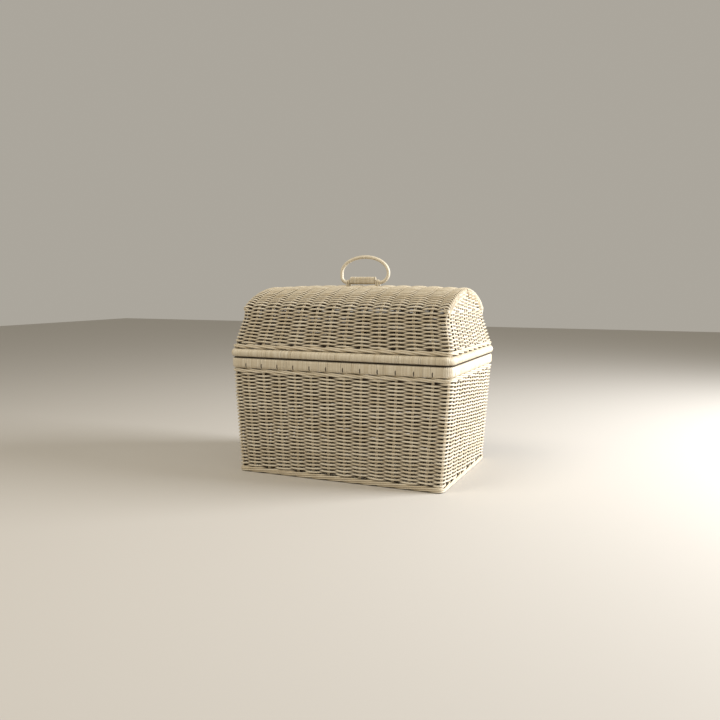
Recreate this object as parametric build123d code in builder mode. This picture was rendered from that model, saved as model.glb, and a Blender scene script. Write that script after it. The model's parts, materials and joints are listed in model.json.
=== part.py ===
from build123d import *
import os
from math import hypot, sqrt

# Wicker storage trunk with a barrel-topped lid, millimetres.
# Frame: origin on the floor under the middle of the trunk, +X to the right end, +Y to the
# back, +Z up.  The front wall faces -Y.

# ---------------------------------------------------------------- driving dimensions
rim_width = 560.0            # base rim, outside, end to end
rim_depth = 374.0            # base rim, outside, front to back
rim_corner_radius = 22.0
rim_top = 281.0              # the lid rests here
base_rim_height = 26.0
base_rim_thickness = 20.0
base_rim_rounding = 7.0
wrap_thickness = 2.0         # wound cane over both rims
lid_rim_diameter = 20.0
lid_rim_overhang = 3.0       # the lid rim stands this far outside the base rim
closed_gap = 0.3             # between the two closed rims

stake_radius = 2.5
stake_pitch = 42.6
front_stakes_each_side = 6   # the middle falls between two stakes
end_stakes_each_side = 3     # between the corner posts
wall_thickness = 12.6        # one stake with a strand in front and a strand behind
wall_inset = 4.0             # wall surface inside the rim's outer face, at the top
wall_corner_radius = 20.0
foot_half_width = 260.0      # wall surface at the floor
foot_half_depth = 180.5
foot_corner_radius = 10.0
tightest_inner_radius = 2.0
foot_border_height = 14.0
border_stand_out = 1.5       # the foot border stands outside the wall surface
wale_height = 11.0
wale_stand_out = 1.0
stake_into_rim = 8.0

floor_underside = 4.0
floor_thickness = 10.0
floor_stick_radius = 3.5
floor_sticks_each_side = 3
floor_stick_end_gap = 8.0

shoulder_half_width = 260.0  # lid ends, from the turn upwards
shoulder_half_depth = 152.0  # where the slanting lid wall would meet the crest arc
shoulder_height = 404.0
crest_height = 449.0
shoulder_bend_radius = 60.0
turn_height = 376.0          # straight slanting walls below, bent panels above
turn_corner_radius = 12.0
end_stake_top_spread = 0.62  # end stakes lean together towards the crest
end_stake_top_gap = 2.5
arch_rod_radius = 3.5
lid_stake_into_rim = 8.0
rod_bend_height = 366.0      # lid rods bend here, inside the slanting wall

handle_axis_height = 460.8
handle_rod_radius = 4.2
handle_straight = (-51.0, 38.0)      # straight stretch of the hoop, along X
handle_corner_radii = (14.0, 22.4)   # left and right lower corners
handle_crown_height = 523.0
sleeve_span = (-42.0, 26.4)
sleeve_wrap_thickness = 1.0
splice_end_gap = 4.0
handle_lashings_at = {"left_handle_lashing": -46.8, "right_handle_lashing": 32.0}
handle_lashing_width = 8.0
handle_lashing_thickness = 2.0
handle_clearance = 0.3

hinge_lashings_at = {"left_hinge_lashing": -3 * stake_pitch,
                     "right_hinge_lashing": 3 * stake_pitch}
hinge_lashing_width = 24.0
hinge_lashing_thickness = 2.2
hinge_clearance = 0.35
hinge_slot_radius = 16.6     # swept clear in the lid wall by the lashing as the lid turns
hinge_slot_side_gap = 0.5

# ---------------------------------------------------------------- worked-out dimensions
base_rim_bottom = rim_top - base_rim_height
mid_wall = wall_thickness / 2
wall_top_half_width = rim_width / 2 - wall_inset
wall_top_half_depth = rim_depth / 2 - wall_inset
base_wale_bottom = base_rim_bottom - wale_height
lid_rim_radius = lid_rim_diameter / 2
lid_rim_centre = rim_top + closed_gap + lid_rim_radius
lid_rim_top = lid_rim_centre + lid_rim_radius
lid_wale_top = lid_rim_top + wale_height
lid_foot_half_width = wall_top_half_width + 1.0      # lid wall surface at the lid rim's top
lid_foot_half_depth = wall_top_half_depth + 1.0
hinge_axis_y = rim_depth / 2 + lid_rim_overhang - lid_rim_radius

end_lean = (lid_foot_half_width - shoulder_half_width) / (turn_height - lid_rim_top)
side_lean = (lid_foot_half_depth - shoulder_half_depth) / (shoulder_height - lid_rim_top)
crest_rise = crest_height - shoulder_height
crest_radius = (shoulder_half_depth**2 + crest_rise**2) / (2 * crest_rise)
crest_centre = crest_height - crest_radius


# ---------------------------------------------------------------- shared outlines
def base_outline(height, depth):
    """Half width, half depth and corner radius of the base wall, depth inside its surface."""
    rise = height / base_rim_bottom
    half_width = foot_half_width + (wall_top_half_width - foot_half_width) * rise
    half_depth = foot_half_depth + (wall_top_half_depth - foot_half_depth) * rise
    radius = foot_corner_radius + (wall_corner_radius - foot_corner_radius) * rise
    return half_width - depth, half_depth - depth, max(radius - depth, tightest_inner_radius)


def lid_outline(height, depth):
    """The same for the slanting lid wall, from the lid rim up to the turn."""
    rise = height - lid_rim_top
    half_width = lid_foot_half_width - end_lean * rise - depth * hypot(1, end_lean)
    half_depth = lid_foot_half_depth - side_lean * rise - depth * hypot(1, side_lean)
    change = (turn_corner_radius - wall_corner_radius) / (turn_height - lid_rim_top)
    radius = wall_corner_radius + change * rise
    return half_width, half_depth, max(radius - depth, tightest_inner_radius)


def corner_point(outline, height):
    """Middle of the rounded corner, in the middle of the wall."""
    half_width, half_depth, radius = outline(height, mid_wall)
    cut = radius * (1 - sqrt(0.5))
    return half_width - cut, half_depth - cut


def shoulder_point(depth):
    """Where the slanting wall line meets the crest arc, both depth inside the surface."""
    low = Vector(lid_foot_half_depth - depth * hypot(1, side_lean), lid_rim_top)
    along = Vector(-side_lean, 1).normalized()
    start = low - Vector(0, crest_centre)
    half_b = start.dot(along)
    reach = sqrt(half_b**2 - start.dot(start) + (crest_radius - depth)**2) - half_b
    return low + along * reach


def over_the_lid(depth, foot_height):
    """Flat line from a height on the front wall over the crest to the back, depth inside."""
    foot = lid_outline(foot_height, depth)[1]
    shoulder = shoulder_point(depth)
    with BuildLine() as line:
        Line((-foot, foot_height), (-shoulder.X, shoulder.Y))
        ThreePointArc((-shoulder.X, shoulder.Y), (0, crest_height - depth), (shoulder.X, shoulder.Y))
        Line((shoulder.X, shoulder.Y), (foot, foot_height))
        bends = line.vertices().filter_by(lambda v: abs(v.Y - shoulder.Y) < 1)
        fillet(bends, shoulder_bend_radius - depth)
    return line.wire()


def hull_face(circles, grow):
    """Face drawn tight round some circles that are all grown by the same amount."""
    with BuildSketch() as hull:
        with BuildLine():
            for centre, radius in circles:
                CenterArc(centre, radius + grow, 0, 360)
        make_hull()
    return hull.sketch


# ---------------------------------------------------------------- shared solids
def wall_ring(outline, low, high, stand_out=0.0):
    """Hollow wall between two heights, its outside standing out from the wall surface."""
    with BuildPart() as ring:
        for depth, mode in ((-stand_out, Mode.ADD), (wall_thickness, Mode.SUBTRACT)):
            for height in (low, high):
                half_width, half_depth, radius = outline(height, depth)
                with BuildSketch(Plane.XY.offset(height)):
                    RectangleRounded(2 * half_width, 2 * half_depth, radius)
            loft(ruled=True, mode=mode)
    return ring.part


def rods(ends, radius):
    """Straight round rods, one between each pair of points, as separate solids."""
    with BuildPart() as group:
        for start, end in ends:
            run = Vector(*end) - Vector(*start)
            with BuildSketch(Plane(origin=start, z_dir=run)):
                Circle(radius)
            extrude(amount=run.length)
    return group.part


def rod_along(path, radius):
    """Round rod along a line that may have sharp bends, which are mitred."""
    with BuildPart() as rod:
        with BuildSketch(Plane(origin=path @ 0, z_dir=path % 0)):
            Circle(radius)
        sweep(path=path, transition=Transition.RIGHT)
    return rod.part


def bent_rod(foot_x, foot_y, top_x, radius):
    """Rod that rises from the lid rim in front, crosses the lid and goes down at the back."""
    foot_z = lid_rim_top - lid_stake_into_rim
    over = Plane.YZ.offset(top_x).from_local_coords(over_the_lid(mid_wall, rod_bend_height))
    with BuildLine() as line:
        Line((foot_x, -foot_y, foot_z), over @ 0)
        add(over)
        Line(over @ 1, (foot_x, foot_y, foot_z))
    return rod_along(line.wire(), radius)


def hull_band(start_x, width, circles, thickness):
    """Closed band across X, drawn tight round some circles in the YZ plane."""
    outer = hull_face(circles, thickness)
    inner = hull_face(circles, 0)
    with BuildPart() as band:
        with BuildSketch(Plane.YZ.offset(start_x)):
            add(outer)
            add(inner, mode=Mode.SUBTRACT)
        extrude(amount=width)
    return band.part


def finish_piece(piece, name):
    piece.label = name
    export_step(piece, f"parts/{name}.step")


os.makedirs("parts", exist_ok=True)

# ---------------------------------------------------------------- base: upright stakes
stake_low = floor_underside
stake_high = base_rim_bottom + stake_into_rim
low_width, low_depth, _ = base_outline(stake_low, mid_wall)
high_width, high_depth, _ = base_outline(stake_high, mid_wall)
top_width, top_depth, _ = base_outline(base_rim_bottom, mid_wall)
front_steps = [step + 0.5 for step in range(-front_stakes_each_side, front_stakes_each_side)]
end_steps = range(-end_stakes_each_side, end_stakes_each_side + 1)

base_stakes = {}
for name, side in (("front_stakes", -1), ("back_stakes", 1)):
    ends = []
    for step in front_steps:
        fan = step * stake_pitch / top_width
        ends.append(((fan * low_width, side * low_depth, stake_low),
                     (fan * high_width, side * high_depth, stake_high)))
    base_stakes[name] = rods(ends, stake_radius)
for name, side in (("left_stakes", -1), ("right_stakes", 1)):
    ends = []
    for step in end_steps:
        fan = step * stake_pitch / top_depth
        ends.append(((side * low_width, fan * low_depth, stake_low),
                     (side * high_width, fan * high_depth, stake_high)))
    base_stakes[name] = rods(ends, stake_radius)
low_corner = corner_point(base_outline, stake_low)
high_corner = corner_point(base_outline, stake_high)
corner_ends = []
for side_x in (-1, 1):
    for side_y in (-1, 1):
        corner_ends.append(((side_x * low_corner[0], side_y * low_corner[1], stake_low),
                            (side_x * high_corner[0], side_y * high_corner[1], stake_high)))
base_stakes["corner_posts"] = rods(corner_ends, stake_radius)
for name, piece in base_stakes.items():
    finish_piece(piece, name)

# ---------------------------------------------------------------- lid: ribs, arch rods, end stakes
lid_foot_height = lid_rim_top - lid_stake_into_rim
lid_foot_width, lid_foot_depth, _ = lid_outline(lid_foot_height, mid_wall)
rim_line_width, rim_line_depth, _ = lid_outline(lid_rim_top, mid_wall)
turn_width, turn_depth, _ = lid_outline(turn_height, mid_wall)

lid_rods = {}
ribs = []
for step in front_steps:
    fan = step * stake_pitch / rim_line_width
    ribs.append(bent_rod(fan * lid_foot_width, lid_foot_depth, fan * turn_width, stake_radius))
with BuildPart() as lid_ribs:
    add(ribs)
lid_rods["lid_ribs"] = lid_ribs.part

lid_corner = corner_point(lid_outline, lid_foot_height)
for name, side in (("left_arch_rod", -1), ("right_arch_rod", 1)):
    lid_rods[name] = bent_rod(side * lid_corner[0], lid_corner[1], side * turn_width, arch_rod_radius)

for name, side in (("left_end_stakes", -1), ("right_end_stakes", 1)):
    stakes = []
    for step in end_steps:
        fan = step * stake_pitch / rim_line_depth
        top_y = step * stake_pitch * end_stake_top_spread
        top_z = crest_centre + sqrt((crest_radius - wall_thickness)**2 - top_y**2) - end_stake_top_gap
        with BuildLine() as line:
            Polyline((side * lid_foot_width, fan * lid_foot_depth, lid_foot_height),
                     (side * turn_width, fan * turn_depth, rod_bend_height),
                     (side * turn_width, top_y, top_z))
        stakes.append(rod_along(line.wire(), stake_radius))
    with BuildPart() as end_stakes:
        add(stakes)
    lid_rods[name] = end_stakes.part
for name, piece in lid_rods.items():
    finish_piece(piece, name)

# ---------------------------------------------------------------- base: floor and foot border
border_ring = wall_ring(base_outline, 0, foot_border_height, border_stand_out)
with BuildPart() as foot_border:
    add(border_ring)
    for piece in base_stakes.values():
        add(piece, mode=Mode.SUBTRACT)
finish_piece(foot_border.part, "foot_border")

floor_middle = floor_underside + floor_thickness / 2
floor_half_width, floor_half_depth, floor_radius = base_outline(floor_middle, mid_wall)
stick_reach = base_outline(floor_middle, wall_thickness)[0] - floor_stick_end_gap
with BuildPart() as floor_sticks:
    for step in range(-floor_sticks_each_side, floor_sticks_each_side + 1):
        with BuildSketch(Plane.YZ.offset(-stick_reach)):
            with Locations((step * stake_pitch, floor_middle)):
                Circle(floor_stick_radius)
        extrude(amount=2 * stick_reach)
finish_piece(floor_sticks.part, "floor_sticks")

with BuildPart() as floor_weave:
    with BuildSketch(Plane.XY.offset(floor_underside)):
        RectangleRounded(2 * floor_half_width, 2 * floor_half_depth, floor_radius)
    extrude(amount=floor_thickness)
    add(border_ring, mode=Mode.SUBTRACT)
    add(floor_sticks.part, mode=Mode.SUBTRACT)
finish_piece(floor_weave.part, "floor_weave")

# ---------------------------------------------------------------- base: woven wall
base_wall = wall_ring(base_outline, foot_border_height, base_wale_bottom)
with BuildPart() as base_weave:
    add(base_wall)
    for piece in base_stakes.values():
        add(piece, mode=Mode.SUBTRACT)
finish_piece(base_weave.part, "base_weave")


# ---------------------------------------------------------------- base: rim
def rim_band(skin):
    """Rounded band of the base rim, skin inside its outer surface."""
    with BuildPart() as band:
        with BuildSketch(Plane.XY.offset(base_rim_bottom + skin)):
            RectangleRounded(rim_width - 2 * skin, rim_depth - 2 * skin, rim_corner_radius - skin)
            hole_inset = 2 * (base_rim_thickness - skin)
            hole_radius = rim_corner_radius - base_rim_thickness + skin
            RectangleRounded(rim_width - hole_inset, rim_depth - hole_inset, hole_radius,
                             mode=Mode.SUBTRACT)
        extrude(amount=base_rim_height - 2 * skin)
        flats = band.faces().filter_by(Axis.Z)
        fillet(flats.edges(), base_rim_rounding - skin)
    return band.part


rim_outside = rim_band(0)
rim_inside_wrap = rim_band(wrap_thickness)
with BuildPart() as base_rim_core:
    add(rim_inside_wrap)
    for piece in base_stakes.values():
        add(piece, mode=Mode.SUBTRACT)
finish_piece(base_rim_core.part, "base_rim_core")

with BuildPart() as base_rim_wrap:
    add(rim_outside)
    add(rim_inside_wrap, mode=Mode.SUBTRACT)
    for piece in base_stakes.values():
        add(piece, mode=Mode.SUBTRACT)
finish_piece(base_rim_wrap.part, "base_rim_wrap")

# ---------------------------------------------------------------- hinge lashings, fixed to the base rim
rim_inner_y = rim_depth / 2 - base_rim_thickness + base_rim_rounding
rim_outer_y = rim_depth / 2 - base_rim_rounding
rim_low_z = base_rim_bottom + base_rim_rounding
rim_high_z = rim_top - base_rim_rounding
hinge_circles = [((hinge_axis_y, lid_rim_centre), lid_rim_radius + hinge_clearance)]
for corner_y in (rim_inner_y, rim_outer_y):
    for corner_z in (rim_low_z, rim_high_z):
        hinge_circles.append(((corner_y, corner_z), base_rim_rounding))

hinge_lashings = {}
for name, middle in hinge_lashings_at.items():
    band = hull_band(middle - hinge_lashing_width / 2, hinge_lashing_width, hinge_circles,
                     hinge_lashing_thickness)
    with BuildPart() as lashing:
        add(band)
        add(rim_outside, mode=Mode.SUBTRACT)
    hinge_lashings[name] = lashing.part
    finish_piece(lashing.part, name)

base_wale_ring = wall_ring(base_outline, base_wale_bottom, base_rim_bottom, wale_stand_out)
with BuildPart() as base_wale:
    add(base_wale_ring)
    for piece in base_stakes.values():
        add(piece, mode=Mode.SUBTRACT)
    for piece in hinge_lashings.values():
        add(piece, mode=Mode.SUBTRACT)
finish_piece(base_wale.part, "base_wale")


# ---------------------------------------------------------------- lid: rim
def lid_hoop(radius):
    """Round hoop all the way along the lid rim."""
    centre_half_width = rim_width / 2 + lid_rim_overhang - lid_rim_radius
    centre_radius = rim_corner_radius + lid_rim_overhang - lid_rim_radius
    with BuildPart() as hoop:
        with BuildSketch(Plane.XY.offset(lid_rim_centre), mode=Mode.PRIVATE) as outline:
            RectangleRounded(2 * centre_half_width, 2 * hinge_axis_y, centre_radius)
        path = outline.sketch.face().outer_wire()
        with BuildSketch(Plane(origin=path @ 0, z_dir=path % 0)):
            Circle(radius)
        sweep(path=path)
    return hoop.part


lid_hoop_outside = lid_hoop(lid_rim_radius)
lid_hoop_inside_wrap = lid_hoop(lid_rim_radius - wrap_thickness)
with BuildPart() as lid_rim_core:
    add(lid_hoop_inside_wrap)
    for piece in lid_rods.values():
        add(piece, mode=Mode.SUBTRACT)
finish_piece(lid_rim_core.part, "lid_rim_core")

with BuildPart() as lid_rim_wrap:
    add(lid_hoop_outside)
    add(lid_hoop_inside_wrap, mode=Mode.SUBTRACT)
    for piece in lid_rods.values():
        add(piece, mode=Mode.SUBTRACT)
finish_piece(lid_rim_wrap.part, "lid_rim_wrap")

# ---------------------------------------------------------------- lid: wale and slanting wall
lid_wale_ring = wall_ring(lid_outline, lid_rim_top, lid_wale_top, wale_stand_out)
with BuildPart() as lid_wale:
    add(lid_wale_ring)
    for piece in lid_rods.values():
        add(piece, mode=Mode.SUBTRACT)
    for middle in hinge_lashings_at.values():
        slot_width = hinge_lashing_width + 2 * hinge_slot_side_gap
        with BuildSketch(Plane.YZ.offset(middle - slot_width / 2)):
            with Locations((hinge_axis_y, lid_rim_centre)):
                Circle(hinge_slot_radius)
        extrude(amount=slot_width, mode=Mode.SUBTRACT)
finish_piece(lid_wale.part, "lid_wale")

lid_wall = wall_ring(lid_outline, lid_wale_top, turn_height)
with BuildPart() as lid_wall_weave:
    add(lid_wall)
    for piece in lid_rods.values():
        add(piece, mode=Mode.SUBTRACT)
finish_piece(lid_wall_weave.part, "lid_wall_weave")

# ---------------------------------------------------------------- lid: handle lashings
rod_loop_radius = handle_rod_radius + handle_clearance
loop_bottom = crest_height - wall_thickness + rod_loop_radius
handle_circles = [((0, handle_axis_height), rod_loop_radius), ((0, loop_bottom), rod_loop_radius)]
handle_lashings = {}
for name, middle in handle_lashings_at.items():
    start_x = middle - handle_lashing_width / 2
    handle_lashings[name] = hull_band(start_x, handle_lashing_width, handle_circles,
                                      handle_lashing_thickness)
    finish_piece(handle_lashings[name], name)


# ---------------------------------------------------------------- lid: barrel top and ends
def under_the_lid(depth, half_length):
    """Solid under the lid's surface, above the turn, depth inside it, centred along X."""
    line = over_the_lid(depth, turn_height)
    with BuildPart() as block:
        with BuildSketch(Plane.YZ.offset(-half_length)):
            with BuildLine():
                add(line)
                Line(line @ 1, line @ 0)
            make_face()
        extrude(amount=2 * half_length)
    return block.part


lid_outer_block = under_the_lid(0, shoulder_half_width)
lid_inner_block = under_the_lid(wall_thickness, shoulder_half_width)
with BuildPart() as lid_top_weave:
    add(lid_outer_block)
    add(lid_inner_block, mode=Mode.SUBTRACT)
    for name in ("lid_ribs", "left_arch_rod", "right_arch_rod"):
        add(lid_rods[name], mode=Mode.SUBTRACT)
    for piece in handle_lashings.values():
        add(piece, mode=Mode.SUBTRACT)
finish_piece(lid_top_weave.part, "lid_top_weave")

end_plate_middle = shoulder_half_width - wall_thickness / 2
for name, side in (("left_end_weave", -1), ("right_end_weave", 1)):
    with BuildPart() as end_weave:
        add(lid_inner_block)
        with Locations((side * end_plate_middle, 0, turn_height)):
            Box(wall_thickness, rim_depth, crest_height, mode=Mode.INTERSECT)
        add(lid_rods[name.replace("weave", "stakes")], mode=Mode.SUBTRACT)
        add(lid_rods[name.replace("end_weave", "arch_rod")], mode=Mode.SUBTRACT)
    finish_piece(end_weave.part, name)

# ---------------------------------------------------------------- handle
left_end, right_end = handle_straight
left_radius, right_radius = handle_corner_radii
spring_height = handle_axis_height + max(handle_corner_radii)
hoop_middle = (left_end - left_radius + right_end + right_radius) / 2
hoop_half_width = right_end + right_radius - hoop_middle
with BuildPart() as handle_hoop:
    with BuildLine(Plane.XZ) as hoop_line:
        Line((left_end, handle_axis_height), (right_end, handle_axis_height))
        right_corner = JernArc((right_end, handle_axis_height), (1, 0), right_radius, 90)
        left_corner = JernArc((left_end, handle_axis_height), (-1, 0), left_radius, -90)
        Line(left_corner @ 1, (left_end - left_radius, spring_height))
        EllipticalCenterArc((hoop_middle, spring_height), hoop_half_width,
                            handle_crown_height - spring_height, arc_size=180)
    with BuildSketch(Plane.YZ.offset(left_end)):
        with Locations((0, handle_axis_height)):
            Circle(handle_rod_radius)
    sweep(path=hoop_line.wire())
finish_piece(handle_hoop.part, "handle_hoop")

splice_height = handle_axis_height + 2 * handle_rod_radius
sleeve_length = sleeve_span[1] - sleeve_span[0]
with BuildPart() as handle_splice:
    with BuildSketch(Plane.YZ.offset(sleeve_span[0] + splice_end_gap)):
        with Locations((0, splice_height)):
            Circle(handle_rod_radius)
    extrude(amount=sleeve_length - 2 * splice_end_gap)
finish_piece(handle_splice.part, "handle_splice")

sleeve_circles = [((0, handle_axis_height), handle_rod_radius), ((0, splice_height), handle_rod_radius)]
handle_sleeve = hull_band(sleeve_span[0], sleeve_length, sleeve_circles, sleeve_wrap_thickness)
finish_piece(handle_sleeve, "handle_sleeve")
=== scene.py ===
import json
import math

import bpy
import numpy as np
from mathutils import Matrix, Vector
from mathutils.geometry import convex_hull_2d


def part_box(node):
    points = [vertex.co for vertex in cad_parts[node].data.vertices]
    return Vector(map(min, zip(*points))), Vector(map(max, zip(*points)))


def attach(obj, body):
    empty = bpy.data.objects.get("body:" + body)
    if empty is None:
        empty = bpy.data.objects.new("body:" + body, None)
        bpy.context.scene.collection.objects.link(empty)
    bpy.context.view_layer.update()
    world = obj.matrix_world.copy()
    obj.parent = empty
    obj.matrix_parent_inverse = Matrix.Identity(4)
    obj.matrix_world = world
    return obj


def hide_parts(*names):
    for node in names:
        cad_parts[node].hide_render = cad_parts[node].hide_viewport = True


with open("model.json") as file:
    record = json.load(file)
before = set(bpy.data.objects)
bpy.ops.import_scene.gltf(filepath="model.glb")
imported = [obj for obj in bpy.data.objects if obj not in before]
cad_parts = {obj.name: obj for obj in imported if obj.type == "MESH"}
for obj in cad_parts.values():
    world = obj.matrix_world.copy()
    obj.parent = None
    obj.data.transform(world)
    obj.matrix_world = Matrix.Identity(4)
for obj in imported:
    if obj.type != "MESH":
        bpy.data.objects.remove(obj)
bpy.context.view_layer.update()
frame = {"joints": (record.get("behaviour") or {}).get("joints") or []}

# Looks of a wicker trunk with a barrel-topped lid. Metres, +Z up, the front faces -Y.
# Every strand is a real tube: each wall is woven over and under its stakes, row by row.

# ------------------------------------------------------------------ driving dimensions
STRAND = 0.00215              # radius of a weaving strand
STAKE = 0.0015                # radius of one rod of a stake; each stake is a pair
STAKE_GAP = 0.0004            # between the two rods of a pair
STAKE_PITCH = 0.0426
FRONT_STEPS = 6               # stakes on the front, either side of its middle
END_STEPS = 3                 # stakes on an end, either side of the middle one
ROW_PITCH = 0.0042
HALF_WALL = 0.0063            # from the middle of a wall to its surface
BORDER_STAND_OUT = 0.0015     # the foot border stands outside the wall
WANDER = 0.0007               # unevenness of the rows
WALE_STRAND = 0.0021
WALE_RISE = 0.0036            # how far its strands rise and fall
WALE_STAND_OUT = 0.0010
FOOT_STRAND = 0.0020
FOOT_STAND_OUT = 0.0012
TOP_CORNER = 0.0110           # corner radii in the middle of the wall
FOOT_CORNER = 0.0055
KINK_CORNER = 0.0050
ARCH_ROD = 0.0030
SHOULDER_DEPTH = 0.152        # where the slanting lid wall would meet the crest arc
SHOULDER_HEIGHT = 0.404
SHOULDER_BEND = 0.040
CREST_RISE = 0.0047           # half way along, the woven top stands this far above the crest arc
CREST_DROP = 0.0063           # at its ends it is this much lower than half way along
BARREL_SPREAD = 1.13          # rows of the barrel are this much further apart than on the walls
END_STAND_OUT = 0.0028        # the strands at the ends stand out, flush with the rims
KINK_HEIGHT = 0.3935          # rows run round the corners up to here
END_STAKE_SPREAD = 0.62       # end stakes lean together towards the crest
ARCH_GAP = 0.004              # the rows of the ends stop this far short of the arch rods
LAST_STAKE_GAP = 0.012        # end stakes nearer than this to an arch rod are left out of a row
STRIP_PITCH = STAKE_PITCH / 18    # wound cane on the rims
SLEEVE_PITCH = 0.0029         # and on the handle's sleeve
NOTCH_DEPTH = 0.0016          # cuts in the base rim, one at each stake
FLOOR_STICK = 0.0028          # radius
SEED = 7

rng = np.random.default_rng(SEED)

# ------------------------------------------------------------------ places, from the frame
rim_low, rim_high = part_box("base_rim_wrap")
lid_rim_low, lid_rim_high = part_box("lid_rim_wrap")
_, weave_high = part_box("base_weave")
foot_low, foot_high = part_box("foot_border")
wale_low, wale_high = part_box("base_wale")
lid_wale_low, lid_wale_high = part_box("lid_wale")
_, lid_wall_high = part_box("lid_wall_weave")
_, top_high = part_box("lid_top_weave")
joints = {joint["name"]: joint for joint in frame["joints"]}
hinge_axis = Vector(joints["lid_hinge"]["pos_m"])
handle_axis = Vector(joints["handle_swing"]["pos_m"])

FOOT_HALF = np.array([foot_high.x, foot_high.y]) - BORDER_STAND_OUT - HALF_WALL
TOP_HALF = np.array([weave_high.x, weave_high.y]) - HALF_WALL
RIM_LINE = weave_high.z + (wale_high.z - wale_low.z)     # underside of the base rim


def mix(low, high, share):
    return low + (high - low) * share


def between(ends, share):
    """Values on the way from each end to the next, at each share of the way."""
    return (ends[:-1, None] + np.diff(ends)[:, None] * share).ravel()


def smooth(share):
    share = np.clip(share, 0.0, 1.0)
    return share * share * (3 - 2 * share)


# ------------------------------------------------------------------ outlines
STATIONS = 4 * (FRONT_STEPS + 1 + END_STEPS) + 2      # stakes all the way round


def ring_length(half, corner):
    """Length round a rounded rectangle."""
    return 4 * (half[0] + half[1] - corner * (2 - math.pi / 2))


def outline_point(half_x, half_y, corner, distance):
    """Points and outward directions at distances round a rounded rectangle, starting in the
    middle of its front and going towards +X."""
    straight = half_x - corner
    quarter = straight + corner * math.pi / 2 + (half_y - corner)
    turn = np.floor(distance / quarter).astype(int)
    along = distance - turn * quarter
    turn = turn % 4
    along = np.where(turn % 2 == 1, quarter - along, along)
    angle = np.clip((along - straight) / corner, 0.0, math.pi / 2)
    reach = np.clip(along - straight - corner * math.pi / 2, 0.0, None)
    x = np.minimum(along, straight) + corner * np.sin(angle)
    y = (half_y - corner) + corner * np.cos(angle) - reach
    sign_x = np.where(turn < 2, 1.0, -1.0)
    sign_y = np.where((turn == 0) | (turn == 3), -1.0, 1.0)
    return (np.stack([x * sign_x, y * sign_y], -1),
            np.stack([np.sin(angle) * sign_x, np.cos(angle) * sign_y], -1))


def stations(half, corner, half_at_rim):
    """Distances of all the stakes round one level of a wall, from the middle of the front."""
    half_x, half_y = half
    quarter = half_x + half_y - corner * (2 - math.pi / 2)
    fan_x, fan_y = half[0] / half_at_rim[0], half[1] / half_at_rim[1]
    front = [(step + 0.5) * STAKE_PITCH * fan_x for step in range(FRONT_STEPS)]
    post = [half_x - corner + corner * math.pi / 4]
    end = [quarter - step * STAKE_PITCH * fan_y for step in range(END_STEPS, 0, -1)]
    first = np.array(front + post + end)
    half_ring = np.concatenate([first, [quarter], 2 * quarter - first[::-1]])
    return np.concatenate([half_ring, half_ring + 2 * quarter, [4 * quarter + first[0]]])


def base_level(height):
    """Height, half sizes and corner radius of the middle of the base wall at a height."""
    rise = (height - foot_high.z) / (weave_high.z - foot_high.z)
    share = np.clip(rise, 0, 1)
    flush = np.array([END_STAND_OUT * share, 0])
    return height, mix(FOOT_HALF, TOP_HALF, rise) + flush, mix(FOOT_CORNER, TOP_CORNER, share)


class LidProfile:
    """Line over the lid, in the middle of the weave, from the front rim to the back rim."""

    def __init__(self):
        rim_z = lid_wale_low.z
        crest = top_high.z
        rise = crest - SHOULDER_HEIGHT
        radius = (SHOULDER_DEPTH**2 + rise**2) / (2 * rise)
        centre = np.array([0.0, crest - radius])
        surface = lid_wale_high.y - 0.001
        foot = np.array([-surface, rim_z])
        along = np.array([-SHOULDER_DEPTH, SHOULDER_HEIGHT]) - foot
        along /= np.linalg.norm(along)
        inward = np.array([along[1], -along[0]])
        radius -= HALF_WALL
        foot = foot + inward * HALF_WALL
        foot = foot + along * (rim_z - foot[1]) / along[1]
        # bend circle that touches the wall line and the crest arc
        start = foot + inward * SHOULDER_BEND - centre
        half_b = start @ along
        reach = math.sqrt(half_b**2 - start @ start + (radius - SHOULDER_BEND)**2) - half_b
        bend = start + along * reach + centre
        touch_wall = bend - inward * SHOULDER_BEND
        outward = (bend - centre) / np.linalg.norm(bend - centre)
        angles = np.linspace(math.atan2(-inward[1], -inward[0]),
                             math.atan2(outward[1], outward[0]), 40)
        angles = np.where(angles < 0, angles + 2 * math.pi, angles)
        crest_angles = np.linspace(angles[-1], math.pi / 2, 160)[1:]
        wall = foot + np.outer(np.linspace(0, 1, 60)[:-1], touch_wall - foot)
        turn = bend + SHOULDER_BEND * np.stack([np.cos(angles), np.sin(angles)], 1)
        arc = centre + radius * np.stack([np.cos(crest_angles), np.sin(crest_angles)], 1)
        front = np.concatenate([wall, turn, arc])
        self.points = np.concatenate([front, front[:-1][::-1] * (-1, 1)])
        self.front = self.points[:len(self.points) // 2 + 1]
        steps = np.linalg.norm(np.diff(self.points, axis=0), axis=1)
        self.distance = np.concatenate([[0.0], np.cumsum(steps)])
        self.length = self.distance[-1]

    def at(self, distance):
        """Points (y, z) and outward normals at distances along the line."""
        def along(where):
            return [np.interp(where, self.distance, self.points[:, axis]) for axis in (0, 1)]

        step = 1e-4
        dy, dz = (after - before for after, before in zip(along(distance + step), along(distance - step)))
        size = np.hypot(dy, dz)
        return np.stack(along(distance), -1), np.stack([-dz / size, dy / size], -1)

    def distance_at_height(self, height):
        return float(np.interp(height, self.front[:, 1], self.distance[:len(self.front)]))


lid_line = LidProfile()
LID_RIM_HALF = np.array([lid_wale_high.x - 0.001 - HALF_WALL, -lid_line.points[0, 0]])
LID_END_X = top_high.x - HALF_WALL          # middle of the lid's upright ends
LID_TURN = lid_wall_high.z                  # ends lean below this height and are upright above


def lid_half_x(height):
    share = np.clip((height - lid_wale_low.z) / (LID_TURN - lid_wale_low.z), 0.0, 1.0)
    return mix(LID_RIM_HALF[0] + END_STAND_OUT, LID_END_X, share)


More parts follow.
